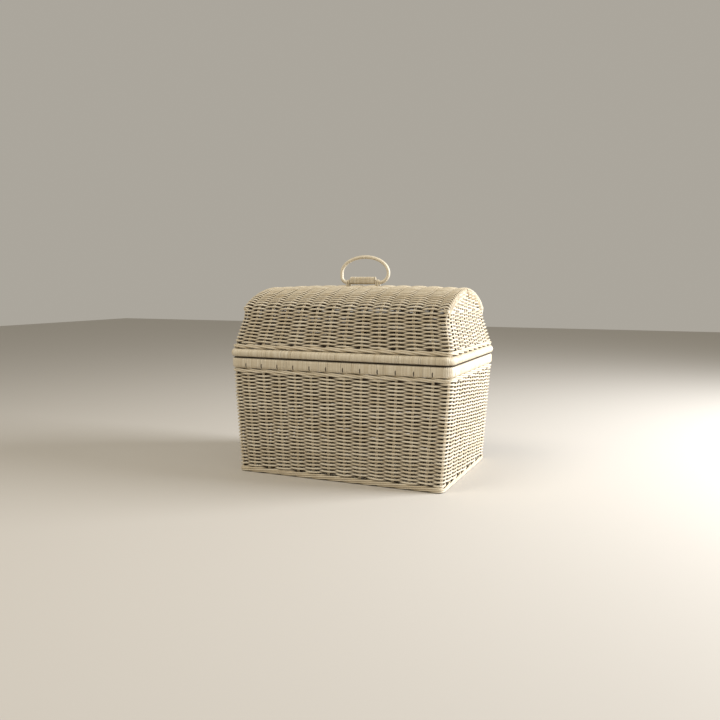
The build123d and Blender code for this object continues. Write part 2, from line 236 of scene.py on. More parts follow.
def lid_level(distance):
    """Height, half sizes and corner radius of the lid wall at a distance up its front line."""
    (y, z), _ = lid_line.at(distance)
    share = np.clip((z - lid_wale_low.z) / (KINK_HEIGHT - lid_wale_low.z), 0.0, 1.0)
    return z, np.array([lid_half_x(z), -y]), mix(TOP_CORNER + 0.001, KINK_CORNER, share)


# ------------------------------------------------------------------ tubes
class Strands:
    """Collects round strands and turns them into one mesh.

    Each point of the mesh carries how deep it lies in the weave, which the material paints
    as shade, its strand's tone, and a coordinate that runs along and round the strand, for the grain."""

    def __init__(self, sides=8):
        self.sides = sides
        self.points, self.faces, self.recess, self.tone, self.grain = [], [], [], [], []
        self.count = 0

    def add(self, path, outward, radius, closed=False, tone=None, recess=0.0, flat=1.0):
        """A strand along path. outward is a direction per point that fixes the section's
        top, and flat squeezes the section along it."""
        path = np.asarray(path, float)
        outward = np.broadcast_to(np.asarray(outward, float), path.shape)
        count = len(path)
        if closed:
            tangent = np.roll(path, -1, 0) - np.roll(path, 1, 0)
        else:
            tangent = np.gradient(path, axis=0)
        tangent = tangent / np.linalg.norm(tangent, axis=1)[:, None]
        up = outward - tangent * np.sum(outward * tangent, 1)[:, None]
        up = up / np.linalg.norm(up, axis=1)[:, None]
        side = np.cross(tangent, up)
        radius = np.broadcast_to(np.asarray(radius, float), (count,))
        steps = np.linalg.norm(np.diff(path, axis=0), axis=1)
        along = np.concatenate([[0.0], np.cumsum(steps)]) + rng.uniform(0, 5)
        recess = np.broadcast_to(np.asarray(recess, float), (count,))
        tone = rng.uniform() if tone is None else tone
        if not closed:
            # rounded ends: a smaller ring beyond each end
            path = np.concatenate([[path[0] - tangent[0] * radius[0] * 0.6], path,
                                   [path[-1] + tangent[-1] * radius[-1] * 0.6]])
            up = np.concatenate([up[:1], up, up[-1:]])
            side = np.concatenate([side[:1], side, side[-1:]])
            radius = np.concatenate([[radius[0] * 0.55], radius, [radius[-1] * 0.55]])
            along = np.concatenate([along[:1], along, along[-1:]])
            recess = np.concatenate([recess[:1], recess, recess[-1:]])
            count += 2
        angle = np.arange(self.sides) * 2 * math.pi / self.sides
        ring = (up[:, None, :] * (np.cos(angle) * flat)[None, :, None]
                + side[:, None, :] * np.sin(angle)[None, :, None])
        self.points.append((path[:, None, :] + ring * radius[:, None, None]).reshape(-1, 3))
        # painted shade: the given amount darkens the strand, more on its side facing into the wall and
        # less on its outward side
        self.recess.append(np.repeat(recess, self.sides)
                           - np.tile(np.cos(angle) * 0.22, count))
        self.tone.append(np.full(count * self.sides, tone))
        grain = np.zeros((count, self.sides, 3))
        grain[:, :, 0] = along[:, None]
        grain[:, :, 1] = np.cos(angle)[None, :] * STRAND
        grain[:, :, 2] = np.sin(angle)[None, :] * STRAND + tone * 3.0
        self.grain.append(grain.reshape(-1, 3))
        rows = np.arange(count if closed else count - 1)
        here = rows[:, None] * self.sides + np.arange(self.sides)[None, :]
        after = ((rows + 1) % count)[:, None] * self.sides + np.arange(self.sides)[None, :]
        quads = np.stack([here, np.roll(here, -1, 1), np.roll(after, -1, 1), after], -1)
        self.faces.extend((quads.reshape(-1, 4) + self.count).tolist())
        if not closed:
            self.faces.append((np.arange(self.sides)[::-1] + self.count).tolist())
            last = self.count + (count - 1) * self.sides
            self.faces.append((np.arange(self.sides) + last).tolist())
        self.count += count * self.sides

    def add_parts(self, path, outward, radius, keep, **more):
        """The stretches of a closed strand for which keep is true."""
        if keep.all():
            self.add(path, outward, radius, closed=True, **more)
            return
        first = int(np.argmin(keep))
        order = np.roll(np.arange(len(keep)), -first)
        recess = np.broadcast_to(more.pop("recess", 0.0), keep.shape)
        run = []
        for index in list(order) + [order[0]]:
            if keep[index]:
                run.append(index)
            elif len(run) > 3:
                self.add(path[run], outward[run], radius, recess=recess[run], **more)
                run = []
            else:
                run = []

    def mesh_object(self, name, material):
        return mesh_object(name, np.concatenate(self.points), self.faces, material,
                           recess=np.concatenate(self.recess), tone=np.concatenate(self.tone),
                           grain=np.concatenate(self.grain))


def add_object(name, data):
    made = bpy.data.objects.new(name, data)
    bpy.context.scene.collection.objects.link(made)
    return made


def mesh_object(name, points, faces, material, recess, tone, grain):
    mesh = bpy.data.meshes.new(name)
    mesh.from_pydata(points.tolist(), [], faces)
    for label, kind, values in (("recess", "FLOAT", recess), ("tone", "FLOAT", tone),
                                ("grain", "FLOAT_VECTOR", grain)):
        attribute = mesh.attributes.new(label, kind, "POINT")
        field = "vector" if kind == "FLOAT_VECTOR" else "value"
        attribute.data.foreach_set(field, np.asarray(values, np.float32).ravel())
    mesh.polygons.foreach_set("use_smooth", np.ones(len(mesh.polygons), bool))
    mesh.materials.append(material)
    mesh.update()
    return add_object(name, mesh)


def place(piece, body, slot, *nodes):
    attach(piece, body)
    if nodes:
        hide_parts(*nodes)
    return piece


# ------------------------------------------------------------------ materials
CREAM = (0.83, 0.755, 0.60)
CREAM_SHADE = (0.58, 0.48, 0.32)
# near-black brown, the colour of the painted shade in the recesses
SHADED_RAW_CANE = (0.050, 0.030, 0.015)


def cane_material(name, roughness, grain_size, bump):
    """Painted cane: brushed cream paint over brown cane, with near-black painted shade in the recesses.
    """
    material = bpy.data.materials.new(name)
    material.use_nodes = True
    nodes, links = material.node_tree.nodes, material.node_tree.links
    nodes.clear()

    def feed(socket, value):
        """Links a socket to another one, or sets it."""
        if isinstance(value, bpy.types.NodeSocket):
            links.new(value, socket)
        else:
            socket.default_value = value

    def node(kind, *inputs, **values):
        """A node, with its first inputs in order and others by name."""
        made = nodes.new(kind)
        for key, value in values.items():
            if key in made.inputs:
                made.inputs[key].default_value = value
            else:
                setattr(made, key, value)
        for socket, value in zip(made.inputs, inputs):
            feed(socket, value)
        return made

    def multiply_add(value, factor, added):
        return node("ShaderNodeMath", value, factor, added, operation="MULTIPLY_ADD").outputs[0]

    def mix_colours(share, low, high):
        made = node("ShaderNodeMix", share, data_type="RGBA")
        feed(made.inputs[6], low)
        feed(made.inputs[7], high)
        return made.outputs[2]

    output = node("ShaderNodeOutputMaterial")
    shader = node("ShaderNodeBsdfPrincipled")
    links.new(shader.outputs[0], output.inputs[0])
    grain = node("ShaderNodeAttribute", attribute_name="grain")
    tone = node("ShaderNodeAttribute", attribute_name="tone")
    recess = node("ShaderNodeAttribute", attribute_name="recess")

    # long streaks along the strand
    stretch = node("ShaderNodeMapping", grain.outputs["Vector"], Scale=(40.0, 900.0, 900.0))
    streaks = node("ShaderNodeTexNoise", stretch.outputs[0], Scale=grain_size, Detail=3.0,
                   Roughness=0.6).outputs["Fac"]

    # slow patches of thicker and thinner paint over the whole trunk
    where = node("ShaderNodeNewGeometry").outputs["Position"]
    patches = node("ShaderNodeTexNoise", where, Scale=22.0, Detail=4.0, Roughness=0.65)
    specks = node("ShaderNodeTexNoise", where, Scale=900.0, Detail=2.0, Roughness=0.5).outputs["Fac"]
    blend = multiply_add(tone.outputs["Fac"], 0.45, streaks)
    blend = multiply_add(patches.outputs["Fac"], 0.7, blend)
    spread = node("ShaderNodeMapRange", blend, 0.65, 1.5)
    paint = mix_colours(spread.outputs[0], (*CREAM_SHADE, 1.0), (*CREAM, 1.0))

    # painted shade: near-black brown deep in the weave, in cracks and where parts meet
    ragged_shade = multiply_add(specks, 0.35, recess.outputs["Fac"])
    shade_share = node("ShaderNodeMapRange", ragged_shade, 0.28, 1.05, interpolation_type="SMOOTHSTEP")
    colour = mix_colours(shade_share.outputs[0], paint, (*SHADED_RAW_CANE, 1.0))
    links.new(colour, shader.inputs["Base Color"])

    dull = node("ShaderNodeMapRange", streaks, 0.0, 1.0, roughness - 0.08, roughness + 0.14)
    links.new(dull.outputs[0], shader.inputs["Roughness"])
    shader.inputs["Specular IOR Level"].default_value = 0.5

    height = multiply_add(specks, 0.35, streaks)
    relief = node("ShaderNodeBump", Strength=bump, Distance=0.0004)
    links.new(height, relief.inputs["Height"])
    links.new(relief.outputs[0], shader.inputs["Normal"])
    return material


weave_paint = cane_material("painted_weave", 0.42, 1.0, 0.30)
rod_paint = cane_material("painted_rod", 0.42, 0.6, 0.12)
wrap_paint = cane_material("painted_wrap", 0.48, 1.2, 0.30)


# ------------------------------------------------------------------ woven walls
STEPS = 8                     # points between two stakes
SHARE = np.arange(STEPS) / STEPS
SWING = HALF_WALL - STRAND    # how far a strand swings in front of and behind the stakes


def held(wave):
    """A wave that stays longer at its ends."""
    return 1.4 * wave - 0.4 * wave**3


def wander(angle, height):
    """Slight unevenness of the rows, the same for neighbouring rows."""
    return WANDER * (np.sin(3 * angle + 1.3 + 31 * height)
                     + 0.7 * np.sin(7 * angle - 0.4 + 47 * height)
                     + 0.5 * np.sin(17 * angle + 2.1 + 63 * height)
                     + 0.35 * np.sin(41 * angle + 0.6 + 55 * height))


def ring_line(half, corner, half_at_rim, lean):
    """Once round a wall, STEPS points from stake to stake: distances, points, horizontal
    normals, and outward normals of the leaning wall."""
    marks = stations(half, corner, half_at_rim)
    distance = between(marks, SHARE)
    point, normal = outline_point(half[0], half[1], corner, distance)
    slope = normal[:, 0]**2 * lean[0] + normal[:, 1]**2 * lean[1]
    outward = np.concatenate([normal, slope[:, None]], 1)
    outward /= np.linalg.norm(outward, axis=1)[:, None]
    return distance, point, normal, outward


def at_height(point, height):
    """Points in X and Y, at a height."""
    return np.concatenate([point, np.full((len(point), 1), height)], 1)


def at_x(x, point):
    """Points in Y and Z, at a place along X."""
    return np.column_stack([np.broadcast_to(x, len(point)), point])


def weave_shade(wave):
    """Painted shade on a strand: 0 on the outside of the wall and above 1 on its inside."""
    return 0.58 - 0.58 * wave


def thickness(wave):
    """Radius along a strand: a strand spreads a little where it lies inside the wall."""
    return STRAND * rng.uniform(0.96, 1.03) * (1 + 0.2 * np.clip(-wave, 0, 1))


def woven_ring(strands, level, rows, half_at_rim, lean, parity=0):
    """Rows of plain weave round a wall. level(row place) gives height, half sizes, corner."""
    for number, place_up in enumerate(rows):
        height, half, corner = level(place_up)
        sign = 1.0 if (number + parity) % 2 == 0 else -1.0
        distance, point, _, outward = ring_line(half, corner, half_at_rim, lean)
        swap = np.where(np.arange(STATIONS) % 2 == 0, 1.0, -1.0) * sign
        wave = (swap[:, None] * held(np.cos(math.pi * SHARE))[None, :]).ravel()
        angle = distance / ring_length(half, corner) * 2 * math.pi
        path = at_height(point, height)
        # the rows even out towards the kinks, where the barrel's rows begin
        path[:, 2] += wander(angle, height) * np.clip((KINK_HEIGHT - height) / 0.05, 0, 1)
        path += outward * (wave * SWING)[:, None]
        strands.add(path, outward, thickness(wave), closed=True, recess=weave_shade(wave))


wall_rise = weave_high.z - foot_high.z
base_lean = (FOOT_HALF - TOP_HALF) / wall_rise
row_count = round(wall_rise / ROW_PITCH)
base_rows = foot_high.z + (np.arange(row_count) + 0.5) * wall_rise / row_count
RIM_HALF = base_level(RIM_LINE)[1]
half_rows = row_count // 2
for name, rows, parity in (("base_weave_lower", base_rows[:half_rows], 0),
                           ("base_weave_upper", base_rows[half_rows:], half_rows)):
    strands = Strands()
    woven_ring(strands, base_level, rows, RIM_HALF, base_lean, parity)
    piece = strands.mesh_object(name, weave_paint)
    place(piece, "base", "painted_wicker", *(["base_weave"] if "upper" in name else []))

# lid walls, up to the kinks at the corners
lid_start = lid_line.distance_at_height(lid_wale_high.z)
lid_kink = lid_line.distance_at_height(KINK_HEIGHT)
lid_row_count = round((lid_kink - lid_start) / ROW_PITCH)
lid_pitch = (lid_kink - lid_start) / lid_row_count
lid_rows = lid_start + (np.arange(lid_row_count) + 0.5) * lid_pitch
lid_lean = ((LID_RIM_HALF[0] - LID_END_X) / (LID_TURN - lid_wale_low.z),
            (LID_RIM_HALF[1] - lid_level(lid_kink)[1][1]) / (KINK_HEIGHT - lid_wale_low.z))
strands = Strands()
woven_ring(strands, lid_level, lid_rows, LID_RIM_HALF, lid_lean)
place(strands.mesh_object("lid_wall_strands", weave_paint), "lid", "painted_wicker", "lid_wall_weave")


# ------------------------------------------------------------------ barrel top
def rib_x(step, height):
    """Where a rib stands along X: it fans in with the lid's ends."""
    return step * STAKE_PITCH * lid_half_x(height) / LID_RIM_HALF[0]


FRONT_PLACES = [step + 0.5 for step in range(-FRONT_STEPS, FRONT_STEPS)]
barrel_length = lid_line.length - 2 * lid_kink
EDGE_TURN = ARCH_ROD + STRAND       # radius of a strand's turn round an arch rod
EDGE_FALL = 0.018                   # how far the strands run down the ends, below the arch rods
EDGE_SLANT = 0.016                  # and how far sideways
EDGE_TUCK = 0.0055                  # their tips go this far in
EDGE_SLIM = 0.68                    # their thickness there, as a share of a strand's


def crest_lift(distance, x):
    """How far the woven top bulges beyond the crest arc."""
    across = np.clip((distance - lid_kink) / barrel_length, 0, 1)
    bow = CREST_RISE - CREST_DROP * np.abs(x / LID_END_X)**3
    return bow * np.sin(math.pi * across)**0.85


def edge_turn(over):
    """A strand's end at an arch rod: steps along X, along the normal, and sideways slant.

    A strand that comes over the rod turns down the lid's end and tucks in. One that comes
    from under the rod turns out and ends beside it."""
    if over:
        turn = np.radians(np.linspace(90, 0, 7))
        fall = np.linspace(0, 1, 9)[1:]
        along_x = np.concatenate([EDGE_TURN * np.cos(turn), EDGE_TURN - EDGE_TUCK * fall**5])
        depth = np.concatenate([EDGE_TURN * np.sin(turn), -EDGE_FALL * fall])
        slant = np.linspace(0, 1, 15)**1.5 * EDGE_SLANT
    else:
        turn = np.radians(np.linspace(-90, -12, 7))
        along_x = EDGE_TURN * np.cos(turn)
        depth = EDGE_TURN * np.sin(turn)
        slant = np.linspace(0, 1, 7)**2 * -0.0015
    return along_x, depth, slant


def barrel_strand(distance, sign):
    """One row from arch rod to arch rod, turned round both rods."""
    height = lid_line.at(distance)[0][1]
    marks = np.array([-LID_END_X] + [rib_x(step, height) for step in FRONT_PLACES] + [LID_END_X])
    signs = -sign * (-1.0) ** np.arange(len(marks))
    swing = np.full(len(marks), SWING)
    swing[[0, -1]] = EDGE_TURN
    ease = (1 - held(np.cos(math.pi * SHARE))) / 2
    x = between(marks, SHARE)
    offset = between(signs * swing, ease)
    slide = np.zeros(len(x))
    to_front = -1.0 if distance < lid_line.length / 2 else 1.0
    for side, end_sign in ((-1, signs[0]), (1, signs[-1])):
        along_x, depth, slant = edge_turn(end_sign > 0)
        ends = (side * (LID_END_X + along_x), depth, slant * to_front)
        if side < 0:
            lines = [np.concatenate([end[:0:-1], line]) for end, line in zip(ends, (x, offset, slide))]
        else:
            lines = [np.concatenate([line, end]) for end, line in zip(ends, (x, offset, slide))]
        x, offset, slide = lines
    wander_along = np.sin(x * 23 + distance * 31) * 0.00035 + np.sin(x * 61 - distance * 47) * 0.0002
    point, normal = lid_line.at(distance + wander_along + slide)
    lifted = offset + crest_lift(distance + slide, np.clip(x, -LID_END_X, LID_END_X))
    path = at_x(x, point + normal * lifted[:, None])
    outward = at_x(0, normal)
    at_edge = np.abs(x) > LID_END_X
    outward[at_edge, 0] = np.sign(x[at_edge]) * 1.5
    return path, outward, np.where(at_edge, 1.0, np.clip(offset / SWING, -1, 1))


barrel_count = round(barrel_length / (ROW_PITCH * BARREL_SPREAD)) // 2 * 2 + 1
barrel_pitch = barrel_length / barrel_count
strands = Strands()
for number in range(barrel_count):
    sign = 1.0 if (number + lid_row_count) % 2 == 0 else -1.0
    path, outward, wave = barrel_strand(lid_kink + (number + 0.5) * barrel_pitch, sign)
    slimmer = np.where(np.abs(path[:, 0]) > LID_END_X, EDGE_SLIM, 1.0)
    strands.add(path, outward, thickness(wave) * slimmer, recess=weave_shade(wave))
place(strands.mesh_object("lid_top_strands", weave_paint), "lid", "painted_wicker", "lid_top_weave")


# ------------------------------------------------------------------ lid ends above the kinks
def end_stake_y(step, height):
    """Where an end stake stands along Y at a height: the stakes lean in towards the crest."""
    rim_y = step * STAKE_PITCH
    kink_half = lid_level(lid_kink)[1][1]
    kink_y = rim_y * kink_half / LID_RIM_HALF[1]
    if height < KINK_HEIGHT:
        return mix(rim_y, kink_y, (height - lid_wale_low.z) / (KINK_HEIGHT - lid_wale_low.z))
    share = (height - KINK_HEIGHT) / (top_high.z - 2 * HALF_WALL - KINK_HEIGHT)
    return mix(kink_y, rim_y * END_STAKE_SPREAD, min(share, 1.0))


def arch_y(height):
    """Half depth of the arch rod's centre line at a height."""
    return -float(np.interp(height, lid_line.front[:, 1], lid_line.front[:, 0]))


top_of_end = lid_line.points[:, 1].max() - ARCH_ROD - STRAND
end_row_count = round((top_of_end - KINK_HEIGHT) / (ROW_PITCH * 0.985))
for name, side in (("left_end", -1), ("right_end", 1)):
    strands = Strands()
    for number in range(end_row_count):
        height = KINK_HEIGHT + (number + 0.5) * (top_of_end - KINK_HEIGHT) / end_row_count
        reach = arch_y(height)
        steps = [step for step in range(-END_STEPS, END_STEPS + 1)
                 if abs(end_stake_y(step, height)) < reach - LAST_STAKE_GAP]
        marks = np.array([-reach + ARCH_GAP] + [end_stake_y(step, height) for step in steps]
                         + [reach - ARCH_GAP])
        sign = 1.0 if (number + lid_row_count) % 2 == 0 else -1.0
        signs = np.array([-1.0] + [sign * (-1.0) ** (step + 1) for step in steps] + [-1.0])
        share = np.arange(STEPS + 1) / STEPS
        ease = (1 - held(np.cos(math.pi * share))) / 2
        y, wave = between(marks, share), between(signs, ease)
        fresh = np.concatenate([[True], np.diff(y) > 1e-6])
        y, wave = y[fresh], wave[fresh]
        path = np.stack([side * (LID_END_X + wave * SWING), y,
                         height + 0.0003 * np.sin(y * 40 + number)], 1)
        strands.add(path, (side, 0, 0), thickness(wave), recess=weave_shade(wave))
    place(strands.mesh_object(f"{name}_strands", weave_paint), "lid", "painted_wicker", f"{name}_weave")


# ------------------------------------------------------------------ stakes, ribs and arch rods
def upright(station, heights):
    """Points of a stake that keeps its station number up the base wall."""
    points = []
    for height in heights:
        _, half, corner = base_level(height)
        mark = stations(half, corner, RIM_HALF)[station]
        point, _ = outline_point(half[0], half[1], corner, np.array([mark]))
        points.append((point[0, 0], point[0, 1], height))
    return np.array(points)


def add_pair(strands, path, sideways):
    """A stake: two thin rods side by side along a path."""
    for side in (-1, 1):
        rod = path + sideways * (side * (STAKE + STAKE_GAP / 2))
        strands.add(rod, np.cross(sideways, (0, 0, 1.0)) + (0, 0, 0.02), STAKE, recess=0.22)


def outline_normal(point):
    """Which way a wall faces near a point: along X, along Y, or between them at a corner."""
    gap = TOP_HALF - np.abs(point[:2])
    slack = 2 * HALF_WALL
    facing = np.array([float(gap[0] < slack), float(gap[1] < slack)])
    facing = facing * np.sign(point[:2])
    return facing / np.linalg.norm(facing)


HALF_RING = STATIONS // 2
groups = {"front_stakes": [], "back_stakes": [], "left_stakes": [], "right_stakes": [],
          "corner_posts": []}
for station in range(STATIONS):
    place_in_half = station % HALF_RING
    from_middle = min(place_in_half, HALF_RING - 1 - place_in_half)
    on_right = station < HALF_RING
    at_front = on_right == (place_in_half < FRONT_STEPS + 1)
    if from_middle < FRONT_STEPS:
        groups["front_stakes" if at_front else "back_stakes"].append(station)
    elif from_middle == FRONT_STEPS:
        groups["corner_posts"].append(station)
    else:
        groups["right_stakes" if on_right else "left_stakes"].append(station)
for name, members in groups.items():
    strands = Strands()
    for station in members:
        path = upright(station, np.linspace(0.004, RIM_LINE + 0.006, 9))
        normal = outline_normal(path[len(path) // 2])
        add_pair(strands, path, np.array([-normal[1], normal[0], 0.0]))
    place(strands.mesh_object(f"{name}_rods", rod_paint), "base", "painted_rod", name)

strands = Strands()
lid_line_places = np.linspace(-0.006, lid_line.length + 0.006, 120)
for step in FRONT_PLACES:
    places = np.clip(lid_line_places, 0, lid_line.length)
    point, normal = lid_line.at(places)
    x = np.array([rib_x(step, z) for z in point[:, 1]])
    point = point + normal * crest_lift(places, x)[:, None]
    outward = at_x(0, normal)[2:-2]
    for side in (-1, 1):
        beside = x + side * (STAKE + STAKE_GAP / 2)
        path = at_x(beside, point)[2:-2]
        strands.add(path, outward, STAKE, recess=0.22)
place(strands.mesh_object("lid_rib_rods", rod_paint), "lid", "painted_rod", "lid_ribs")

for name, side in (("left_arch_rod", -1), ("right_arch_rod", 1)):
    strands = Strands(sides=12)
    corner_gap = (TOP_CORNER + 0.001) * (1 - math.sqrt(0.5))
    places = np.linspace(0, lid_line.length, 140)
    point, normal = lid_line.at(places)
    point = point + normal * crest_lift(places, LID_END_X)[:, None]
    low = np.clip((point[:, 1] - lid_wale_low.z) / (KINK_HEIGHT - lid_wale_low.z), 0, 1)
    x = np.array([lid_half_x(z) for z in point[:, 1]]) - corner_gap * (1 - low)
    y = point[:, 0] - np.sign(point[:, 0]) * corner_gap * (1 - low)
    path = np.stack([side * x, y, point[:, 1]], 1)
    # painted shade: the rod is darker along the arch, under the strands' turns, and lighter near the rim
    strands.add(path, (side, 0.01, 0), mix(STAKE, ARCH_ROD, low), recess=mix(0.25, 0.72, low))
    place(strands.mesh_object(name + "_rod", rod_paint), "lid", "painted_rod", name)

for name, side in (("left_end_stakes", -1), ("right_end_stakes", 1)):
    strands = Strands()
    for step in range(-END_STEPS, END_STEPS + 1):
        last_y = abs(step) * STAKE_PITCH * END_STAKE_SPREAD
        top_z = float(np.interp(-last_y, lid_line.front[:, 0], lid_line.front[:, 1])) - ARCH_ROD
        heights = np.concatenate([np.linspace(lid_wale_low.z - 0.003, KINK_HEIGHT, 8),
                                  np.linspace(KINK_HEIGHT, top_z, 6)[1:]])
        path = np.array([(side * lid_half_x(z), end_stake_y(step, z), z) for z in heights])
        add_pair(strands, path, np.array([0.0, 1.0, 0.0]))
    place(strands.mesh_object(f"{name}_rods", rod_paint), "lid", "painted_rod", name)


# ------------------------------------------------------------------ twisted wales and foot border
def twisted_band(strands, level, middle, half_at_rim, lean, count, tall, radius, pull,
                 keep_clear=None, direction=-1, front_share=0.66, shade_level=0.40):
    """count strands that twist round the stakes like a rope, seen as long slanting strokes.

    tall is how far they rise and fall, and pull how far they stand out. front_share is how
    much of a turn lies in front of the stakes, and the last argument how much painted shade
    they get, more where they twist in behind the stakes."""
    height, half, corner = level(middle)
    _, point, normal, outward = ring_line(half, corner, half_at_rim, lean)
    stake_number = (np.arange(STATIONS)[:, None] + SHARE[None, :]).ravel()
    up = np.cross(np.stack([-normal[:, 1], normal[:, 0], 0 * normal[:, 0]], 1), outward)
    up *= np.sign(up[:, 2:3])
    period = STATIONS / round(STATIONS / count)
    for number in range(count):
        turn = np.mod(stake_number / period + number / count, 1.0)
        phase = 2 * math.pi * (turn - front_share / 2)
        swing = SWING * np.tanh(2.2 * (np.cos(phase) - math.cos(math.pi * front_share))) + pull
        climb = np.where(turn < front_share, turn / front_share, (1 - turn) / (1 - front_share))
        lift = tall * direction * (smooth(climb) + climb - 1)
        path = at_height(point, height) + outward * swing[:, None] + up * lift[:, None]
        keep = np.ones(len(path), bool) if keep_clear is None else keep_clear(path)
        # painted shade: darker where the strands twist in behind the stakes
        strands.add_parts(path, outward, radius, keep, recess=shade_level - 0.5 * swing / SWING)


wale_middle = (wale_low.z + wale_high.z) / 2
strands = Strands(sides=10)
twisted_band(strands, base_level, wale_middle, RIM_HALF, base_lean, 3, WALE_RISE, WALE_STRAND,
             WALE_STAND_OUT)
place(strands.mesh_object("base_wale_strands", weave_paint), "base", "painted_wicker", "base_wale")

hinge_names = ("left_hinge_lashing", "right_hinge_lashing")
HINGE_SIDE_GAP = 0.0030
HINGE_CLEAR = 0.0172 + WALE_STRAND      # from the hinge axis, outside the lashings
hinge_spans = [(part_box(name)[0].x - HINGE_SIDE_GAP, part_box(name)[1].x + HINGE_SIDE_GAP)
               for name in hinge_names]


def clear_of_hinges(path):
    """True where a strand stays out of the way of the hinge lashings as the lid turns."""
    far = np.hypot(path[:, 1] - hinge_axis.y, path[:, 2] - hinge_axis.z) > HINGE_CLEAR
    apart = np.ones(len(path), bool)
    for low, high in hinge_spans:
        apart &= (path[:, 0] < low) | (path[:, 0] > high)
    return far | apart


strands = Strands(sides=10)
lid_wale_middle = lid_line.distance_at_height((lid_wale_low.z + lid_wale_high.z) / 2)
twisted_band(strands, lid_level, lid_wale_middle, LID_RIM_HALF, lid_lean, 3, WALE_RISE,
             WALE_STRAND, WALE_STAND_OUT, clear_of_hinges)
place(strands.mesh_object("lid_wale_strands", weave_paint), "lid", "painted_wicker", "lid_wale")

strands = Strands(sides=10)
foot_middle = (foot_low.z + foot_high.z) / 2
# the foot border gets more painted shade, darker down by the floor
twisted_band(strands, base_level, foot_middle, RIM_HALF, base_lean, 4, foot_middle - FOOT_STRAND,
             FOOT_STRAND, FOOT_STAND_OUT, direction=1, front_share=0.72, shade_level=0.72)
place(strands.mesh_object("foot_border_strands", weave_paint), "base", "painted_wicker", "foot_border")


# ------------------------------------------------------------------ wound cane
RIDGE_SHARE = (0.0, 0.13, 0.36, 0.64, 0.87)      # places across one strip of cane
RIDGE_HEIGHT = (0.0, 0.72, 1.0, 1.0, 0.72)
VALLEY_DEPTH = 0.0006


def wound(name, centre_at, length, pitch, half, corner, around, closed=True, notches=None,
          gap_share=0.05, groove=0):
    """A rod or rim wound with a flat strip of cane.

    centre_at(distances) gives points and outward normals along the rod. half and corner are
    the rounded section, outward and up, of around points. notches is a distance between
    deep cuts in the lower outer half. gap_share of the valleys between strips are cracks."""
    strips = round(length / pitch)
    pitch = length / strips
    places = (np.arange(strips)[:, None] + np.array(RIDGE_SHARE)[None, :]).ravel() * pitch
    ridge = np.tile(RIDGE_HEIGHT, strips)
    if not closed:
        places = np.append(places, length)
        ridge = np.append(ridge, 0.0)
    strip = np.minimum(np.arange(len(places)) // len(RIDGE_SHARE), strips - 1)
    valley = np.round(places / pitch).astype(int) % strips
    valley_depth = VALLEY_DEPTH * rng.uniform(0.6, 1.3, strips)
    cracked = rng.uniform(size=strips) < gap_share
    valley_depth[cracked] *= 2.2
    perimeter = ring_length(half, corner)
    turn = np.arange(around) / around
    section, section_normal = outline_point(half[0], half[1], corner, turn * perimeter)
    distance = places[:, None] + turn[None, :] * pitch
    shape = distance.shape
    centre, outward = centre_at(distance.ravel())
    centre, outward = centre.reshape(*shape, 3), outward.reshape(*shape, 3)
    up = np.array([0.0, 0.0, 1.0])
    inset = (valley_depth[valley] * (1 - ridge))[:, None] * np.ones(around)
    # painted shade in the valleys between strips, darkest in the cracks
    recess = ((1 - ridge) * (0.42 + 0.75 * cracked[valley]))[:, None] * np.ones(around)
    if notches is not None:
        from_middle = np.minimum(places, length - places)
        near = np.abs(np.mod(from_middle / notches, 1.0) - 0.5) * notches < pitch * 0.45
        out, rise = section[:, 0] / half[0], section[:, 1] / half[1]
        low = smooth((-rise - 0.02) / 0.2) * smooth((out + 0.1) / 0.4) * smooth((0.97 + rise) / 0.1)
        inset += near[:, None] * low[None, :] * NOTCH_DEPTH
        # painted shade inside the notches
        recess += near[:, None] * low[None, :] * 1.5
    # painted shade on the faces where the two rims meet
    recess += smooth((groove * section_normal[:, 1] - 0.55) / 0.4)[None, :] * 0.75
    side = section[:, 0][None, :] - section_normal[:, 0][None, :] * inset
    rise = section[:, 1][None, :] - section_normal[:, 1][None, :] * inset
    points = centre + outward * side[:, :, None] + up * rise[:, :, None]
    strip_tone = rng.uniform(size=strips)[strip]
    grain = np.zeros((*shape, 3))
    grain[:, :, 0] = (turn * perimeter)[None, :] + strip_tone[:, None] * 3
    grain[:, :, 1] = distance
    grain[:, :, 2] = strip_tone[:, None]
    rows = np.arange(len(places) if closed else len(places) - 1)
    here = rows[:, None] * around + np.arange(around)[None, :]
    after = ((rows + 1) % len(places))[:, None] * around + np.arange(around)[None, :]
    faces = np.stack([here, after, np.roll(after, -1, 1), np.roll(here, -1, 1)], -1)
    faces = faces.reshape(-1, 4).tolist()
    if not closed:
        faces.append(list(range(around)))
        faces.append([index + (len(places) - 1) * around for index in reversed(range(around))])
    return mesh_object(name, points.reshape(-1, 3), faces, wrap_paint, recess=recess.ravel(),
                       tone=np.repeat(strip_tone, around), grain=grain.reshape(-1, 3))


def rim_centre(half, corner, height):
    def centre_at(distance):
        point, normal = outline_point(half[0], half[1], corner, distance)
        return at_height(point, height), at_height(normal, 0.0)
    return centre_at


RIM_THICK = 0.020
RIM_ROUNDING = 0.007
RIM_CORNER = 0.012            # of the middle line
base_rim_half = np.array([rim_high.x, rim_high.y]) - RIM_THICK / 2
base_rim_z = (rim_low.z + rim_high.z) / 2
piece = wound("base_rim_cane", rim_centre(base_rim_half, RIM_CORNER, base_rim_z),
              ring_length(base_rim_half, RIM_CORNER), STRIP_PITCH,
              (RIM_THICK / 2, (rim_high.z - rim_low.z) / 2), RIM_ROUNDING, 24,
              notches=STAKE_PITCH, groove=1)
place(piece, "base", "painted_wrap", "base_rim_wrap", "base_rim_core")

